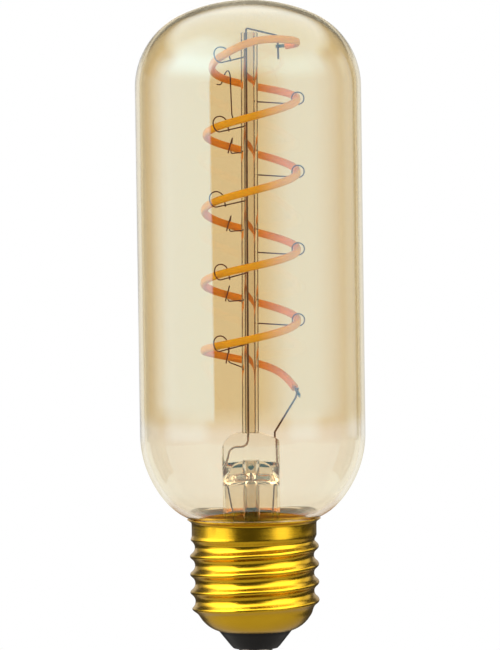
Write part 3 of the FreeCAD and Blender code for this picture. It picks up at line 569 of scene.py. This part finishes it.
def white_card(name, shows_in_gloss):
    """Card coated matt: pale where light falls on it, plain white to the camera and in glass."""
    card, card_out = new_material(name)
    path = add_node(card, "ShaderNodeLightPath")
    seen = add_node(card, "ShaderNodeMath", settings={"operation": "MAXIMUM"},
                    links={0: path.outputs["Is Camera Ray"], 1: path.outputs["Is Transmission Ray"]})
    if shows_in_gloss:
        seen = add_node(card, "ShaderNodeMath", settings={"operation": "MAXIMUM"},
                        links={0: seen.outputs[0], 1: path.outputs["Is Glossy Ray"]})
    matt = add_node(card, "ShaderNodeBsdfDiffuse", values={"Color": linear("#EDEDED")})
    glow = add_node(card, "ShaderNodeEmission", values={"Strength": 1.0})
    mix = add_node(card, "ShaderNodeMixShader",
                   links={0: seen.outputs[0], 1: matt.outputs[0], 2: glow.outputs[0]})
    card.node_tree.links.new(mix.outputs[0], card_out.inputs[0])
    return card


def stage_sheet(name, material, width, height, centre, turn):
    """Flat sheet that is not part of the bulb, from a grid in the X-Y plane."""
    shape = bmesh.new()
    bmesh.ops.create_grid(shape, x_segments=1, y_segments=1, size=0.5)
    bmesh.ops.scale(shape, verts=shape.verts, vec=(width, height, 1))
    bmesh.ops.rotate(shape, verts=shape.verts, cent=(0, 0, 0), matrix=turn)
    bmesh.ops.translate(shape, verts=shape.verts, vec=centre)
    object_of(name, shape, material)


floor_side = 5.0
floor_z = -0.35
backdrop_y = 3.0
backdrop_width = 4.8
backdrop_top = 1.0
stage_sheet("floor", white_card("white_floor_matt", False), floor_side, floor_side,
            (0, backdrop_y - floor_side / 2, floor_z), Matrix.Identity(3))
stage_sheet("backdrop", white_card("white_card_matt", True), backdrop_width,
            backdrop_top - floor_z, (0, backdrop_y, (backdrop_top + floor_z) / 2),
            Matrix.Rotation(math.pi / 2, 3, "X"))


# Room and lamps
# A large softbox on the left and a narrower one on the right light the bulb. The room is
# white where it is seen, also through glass, and dim where a surface mirrors it.

world = bpy.data.worlds.new("studio")
bpy.context.scene.world = world
world.use_nodes = True
world.node_tree.nodes.clear()
world_out = add_node(world, "ShaderNodeOutputWorld")
world_path = add_node(world, "ShaderNodeLightPath")
unmirrored = add_node(world, "ShaderNodeMath", settings={"operation": "LESS_THAN"},
                      values={1: 0.5}, links={0: world_path.outputs["Glossy Depth"]})
through_glass = add_node(world, "ShaderNodeMath", settings={"operation": "MULTIPLY"},
                         links={0: world_path.outputs["Is Transmission Ray"],
                                1: unmirrored.outputs[0]})
seen_directly = add_node(world, "ShaderNodeMath", settings={"operation": "MAXIMUM"},
                         links={0: world_path.outputs["Is Camera Ray"],
                                1: through_glass.outputs[0]})
room_dim = add_node(world, "ShaderNodeBackground",
                    values={"Color": linear("#98928A"), "Strength": 1.0})
room_white = add_node(world, "ShaderNodeBackground",
                      values={"Color": linear("#FFFFFF"), "Strength": 1.0})
world_mix = add_node(world, "ShaderNodeMixShader",
                     links={0: seen_directly.outputs[0], 1: room_dim.outputs[0],
                            2: room_white.outputs[0]})
world.node_tree.links.new(world_mix.outputs[0], world_out.inputs[0])


def on_bearing(bearing, distance, z):
    """Place at a distance on a bearing from the camera's side, positive to the right."""
    angle = math.radians(bearing)
    return Vector((math.sin(angle) * distance, -math.cos(angle) * distance, z))


def softbox(name, bearing, distance, width, height, radiance):
    """Area light that faces the bulb from a bearing."""
    data = bpy.data.lights.new(name, "AREA")
    data.shape = "RECTANGLE"
    data.size = width
    data.size_y = height
    data.energy = radiance * math.pi * width * height
    lamp = new_object(name, data)
    lamp.location = on_bearing(bearing, distance, softbox_z)
    lamp.rotation_mode = "QUATERNION"
    lamp.rotation_quaternion = on_bearing(bearing, 1, 0).to_track_quat("Z", "Y")
    lamp.visible_camera = False
    lamp.visible_glossy = False
    lamp.visible_transmission = False


softbox_z = 0.2
softbox("softbox_left", bearing=-75, distance=0.7, width=1.05, height=1.1, radiance=1.8)
softbox("softbox_right", bearing=60, distance=0.8, width=0.8, height=1.1, radiance=1.5)


# Tent round the bulb
# A tent of diffusing cloth that only gloss shows. It is bright at the two lamps and
# overhead, and dim elsewhere.

tent_r = 0.7
tent_dim = 0.07

# Diffusing cloth, lit from outside: even white light that fades smoothly at its edges.
tent, tent_out = new_material("diffusing_cloth_lit")
tent_place = add_node(tent, "ShaderNodeTexCoord")
tent_axes = add_node(tent, "ShaderNodeSeparateXYZ", links={0: tent_place.outputs["Object"]})
tent_front = add_node(tent, "ShaderNodeMath", settings={"operation": "MULTIPLY"}, values={1: -1.0},
                      links={0: tent_axes.outputs["Y"]})
tent_bearing = add_node(tent, "ShaderNodeMath", settings={"operation": "ARCTAN2"},
                        links={0: tent_axes.outputs["X"], 1: tent_front.outputs[0]})


def tent_step(source, low, high):
    """Smooth step that rises from 0 at its low value to 1 at its high value."""
    step = add_node(tent, "ShaderNodeMapRange", settings={"interpolation_type": "SMOOTHSTEP"},
                    values={"From Min": low, "From Max": high}, links={"Value": source})
    return step.outputs[0]


def bearings(start, full, full_end, end):
    """Two steps that open a window of bearings, in degrees."""
    start, full, full_end, end = (math.radians(angle) for angle in (start, full, full_end, end))
    return [tent_step(tent_bearing.outputs[0], start, full),
            tent_step(tent_bearing.outputs[0], end, full_end)]


def behind(start, full):
    """Step of bearings from one side to straight behind, in degrees."""
    return [tent_step(tent_bearing.outputs[0], math.radians(start), math.radians(full))]


def heights(start, full, full_end, end):
    """Two steps that open a window of heights on the tent, in metres."""
    return [tent_step(tent_axes.outputs["Z"], start, full),
            tent_step(tent_axes.outputs["Z"], end, full_end)]


def lit(radiance, *windows):
    """Radiance where all of the windows are open."""
    steps = [step for window in windows for step in window]
    level = add_node(tent, "ShaderNodeMath", settings={"operation": "MULTIPLY"},
                     values={1: radiance}, links={0: steps[0]})
    for step in steps[1:]:
        level = add_node(tent, "ShaderNodeMath", settings={"operation": "MULTIPLY"},
                         links={0: level.outputs[0], 1: step})
    return level.outputs[0]


lamp_heights = (0.0, 0.01, 0.3, 0.62)
spill_heights = (-0.3, -0.1, 0.0, 0.01)
back_heights = (-0.03, -0.02, 0.19, 0.24)
front_half = [tent_step(tent_front.outputs[0], -0.1, 0.1)]
back_half = [tent_step(tent_front.outputs[0], 0.1, -0.1)]
tent_parts = {
    "left lamp": lit(3.5, bearings(-126, -86, -40, -37), heights(*lamp_heights)),
    "left spill below": lit(1.7, bearings(-108, -84, -56, -38), heights(*spill_heights)),
    "left spill above": lit(2.0, bearings(-115, -72, -48, -10), heights(0.22, 0.48, 0.6, 0.69)),
    "left back edge": lit(0.28, bearings(-146, -134, -114, -100), heights(*back_heights)),
    "right lamp": lit(3.0, bearings(4, 46, 60, 130), heights(*lamp_heights)),
    "right spill below": lit(1.6, bearings(28, 46, 58, 80), heights(*spill_heights)),
    "right back edge": lit(0.9, bearings(104, 120, 128, 135), heights(-0.03, -0.02, 0.3, 0.4)),
    "roof in front": lit(2.3, front_half, heights(0.2, 0.5, 0.8, 0.9)),
    "roof behind": lit(2.3, back_half, heights(0.42, 0.54, 0.8, 0.9)),
    "back wall left": lit(0.6, behind(-139, -150), heights(*back_heights)),
    "back wall right": lit(0.5, behind(145, 152), heights(*back_heights)),
    "bottom": lit(0.5, [tent_step(tent_axes.outputs["Z"], -0.25, -0.45)]),
}
tent_level = add_node(tent, "ShaderNodeMath", settings={"operation": "ADD", "label": "dim cloth"},
                      values={0: tent_dim, 1: 0.0})
for name, part in tent_parts.items():
    tent_level = add_node(tent, "ShaderNodeMath", settings={"operation": "ADD", "label": name},
                          links={0: tent_level.outputs[0], 1: part})
tent_glow = add_node(tent, "ShaderNodeEmission", values={"Color": linear("#FFFFFF")},
                     links={"Strength": tent_level.outputs[0]})
tent.node_tree.links.new(tent_glow.outputs[0], tent_out.inputs[0])


def off_camera(name, shape, material, in_gloss):
    """Stage object of a finished bmesh that shows only in gloss or only through glass."""
    thing = object_of(name, shape, material)
    thing.visible_camera = False
    thing.visible_diffuse = False
    thing.visible_glossy = in_gloss
    thing.visible_transmission = not in_gloss
    thing.visible_shadow = False


tent_shape = bmesh.new()
bmesh.ops.create_uvsphere(tent_shape, u_segments=96, v_segments=48, radius=tent_r)
off_camera("tent", tent_shape, tent, True)


# Paper collar
# A sheet of white paper with a hole for the cap, laid flat at the height of the cap's rim.
# Gloss shows its glowing upper side, with painted shadow and painted amber bounce light
# beside the brass, and it fades out far away.

collar_inner = 14 * mm
collar_outer = 0.3
collar_z = 26.5 * mm

# White paper, lit from above: pale glow, with a painted shadow of the cap that dims it
# near the brass and painted amber bounce light from the brass.
paper, paper_out = new_material("white_paper_lit_above")
paper_place = add_node(paper, "ShaderNodeTexCoord")
paper_level = add_node(paper, "ShaderNodeVectorMath", settings={"operation": "MULTIPLY"},
                       values={1: (1, 1, 0)}, links={0: paper_place.outputs["Object"]})
paper_reach = add_node(paper, "ShaderNodeVectorMath", settings={"operation": "LENGTH"},
                       links={0: paper_level.outputs[0]})
# Painted shadow and bounce light: near the cap the glow is dimmer and amber.
paper_beyond_painted_shadow = add_node(paper, "ShaderNodeMapRange",
                                settings={"interpolation_type": "SMOOTHSTEP"},
                                values={"From Min": collar_inner * 1.1,
                                        "From Max": collar_inner * 1.8},
                                links={"Value": paper_reach.outputs["Value"]})
paper_painted_shadow = add_node(paper, "ShaderNodeMapRange", values={"To Min": 0.3, "To Max": 0.75},
                          links={"Value": paper_beyond_painted_shadow.outputs[0]})
paper_painted_bounce = add_node(paper, "ShaderNodeMix", settings={"data_type": "RGBA"},
                        values={6: linear("#F0A848"), 7: linear("#FFF8E2")},
                        links={0: paper_beyond_painted_shadow.outputs[0]})
paper_glow = add_node(paper, "ShaderNodeEmission",
                      links={"Color": paper_painted_bounce.outputs[2],
                             "Strength": paper_painted_shadow.outputs[0]})
paper_far = add_node(paper, "ShaderNodeMapRange", settings={"interpolation_type": "SMOOTHSTEP"},
                     values={"From Min": collar_outer / 3, "From Max": collar_outer},
                     links={"Value": paper_reach.outputs["Value"]})
paper_side = add_node(paper, "ShaderNodeNewGeometry")
paper_open = add_node(paper, "ShaderNodeMath", settings={"operation": "MAXIMUM"},
                      links={0: paper_far.outputs[0], 1: paper_side.outputs["Backfacing"]})
paper_clear = add_node(paper, "ShaderNodeBsdfTransparent")
paper_mix = add_node(paper, "ShaderNodeMixShader",
                     links={0: paper_open.outputs[0], 1: paper_glow.outputs[0],
                            2: paper_clear.outputs[0]})
paper.node_tree.links.new(paper_mix.outputs[0], paper_out.inputs[0])

collar = bmesh.new()
bmesh.ops.create_circle(collar, segments=64, radius=collar_inner)
rim = bmesh.ops.extrude_edge_only(collar, edges=collar.edges[:])["geom"]
bmesh.ops.scale(collar, verts=[part for part in rim if isinstance(part, bmesh.types.BMVert)],
                vec=(collar_outer / collar_inner, collar_outer / collar_inner, 1))
bmesh.ops.translate(collar, verts=collar.verts, vec=(0, 0, collar_z))
collar.normal_update()
if collar.faces[:][0].normal.z < 0:
    bmesh.ops.reverse_faces(collar, faces=collar.faces)
off_camera("paper_collar", collar, paper, True)


# Cloth flags
# Two curved strips of brown cloth, one behind the bulb on each side. Only glass shows them,
# as the dark lines along the column's edges.

flag_starts = {"flag_left": -132, "flag_right": 102}
flag_span = math.radians(30)
flag_r = tent_r * 0.95
flag_foot = -0.3
flag_height = 0.8

# Brown cloth, woven: an even dull brown.
flag_cloth, flag_out = new_material("brown_cloth_woven")
flag_glow = add_node(flag_cloth, "ShaderNodeEmission",
                     values={"Color": linear("#7A4E10"), "Strength": 1.0})
flag_cloth.node_tree.links.new(flag_glow.outputs[0], flag_out.inputs[0])
for name, start in flag_starts.items():
    flag = bmesh.new()
    foot = bmesh.ops.create_vert(flag, co=on_bearing(start, flag_r, flag_foot))["vert"]
    head = bmesh.ops.extrude_vert_indiv(flag, verts=foot)
    bmesh.ops.translate(flag, verts=head["verts"], vec=(0, 0, flag_height))
    bmesh.ops.spin(flag, geom=flag.verts[:] + flag.edges[:], cent=(0, 0, 0),
                   axis=(0, 0, 1), angle=flag_span, steps=8)
    off_camera(name, flag, flag_cloth, False)


# Camera
# A long lens a metre in front, a little above the middle of the bulb and turned slightly.

camera_aim = Vector((-0.25 * mm, 0, 66.1 * mm))
camera_distance = 1.0
camera_rise = math.radians(2.6)
camera_roll = math.radians(-0.8)
camera_data = bpy.data.cameras.new("camera")
camera_data.sensor_width = 36.0
camera_data.lens = 274.7
camera = new_object("camera", camera_data)
toward = Vector((0, -math.cos(camera_rise), math.sin(camera_rise)))
camera.location = camera_aim + toward * camera_distance
camera.rotation_mode = "QUATERNION"
camera.rotation_quaternion = (toward.to_track_quat("Z", "Y")
                              @ Quaternion((0, 0, 1), camera_roll))
bpy.context.scene.camera = camera
bpy.context.scene.view_settings.view_transform = "Standard"
